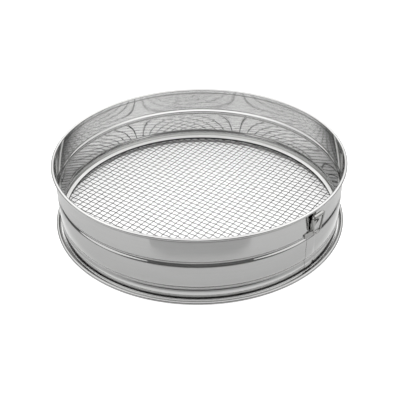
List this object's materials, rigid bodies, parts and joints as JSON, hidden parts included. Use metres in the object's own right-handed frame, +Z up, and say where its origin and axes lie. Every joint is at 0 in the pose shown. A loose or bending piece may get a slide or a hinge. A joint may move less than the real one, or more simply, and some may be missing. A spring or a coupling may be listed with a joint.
{
  "type": "drum sieve",
  "caption": "Round stainless drum sieve: a beaded sheet drum with a rolled rim, a coarse woven mesh floor, a rolled foot ring, and a small ring to hang it by",
  "frame": {"origin": "on the table plane, under the centre of the drum", "axes": "+Z up along the drum's axis; the drum stands on its foot ring, and -Y is the side that the picture sees"},
  "size_m": [0.306, 0.306, 0.072],
  "materials": {
    "drum_steel": "bright, mirror-like stainless sheet",
    "foot_steel": "bright, mirror-like stainless sheet",
    "hem_steel": "satin stainless strip",
    "edge_wire": "drawn wire, hidden in the rolled edges",
    "mesh_steel": "drawn stainless wire",
    "hanger_steel": "bright stainless strip",
    "ring_steel": "bright stainless wire"
  },
  "bodies": {
    "drum": {"drum_shell": "drum_steel", "rim_wire": "edge_wire", "foot_ring": "foot_steel", "foot_wire": "edge_wire", "mesh_hem": "hem_steel", "mesh_warp": "mesh_steel", "mesh_weft": "mesh_steel", "hanger_strap": "hanger_steel"},
    "hanging_ring": {"hanging_ring": "ring_steel"}
  },
  "joints": [
    {"name": "ring_swing", "type": "hinge", "parent": "drum", "child": "hanging_ring", "pos_m": [0.10682, -0.10731, 0.0659], "axis": [-0.7242, -0.6896, 0], "range_deg": [-2.5, 175]}
  ]
}
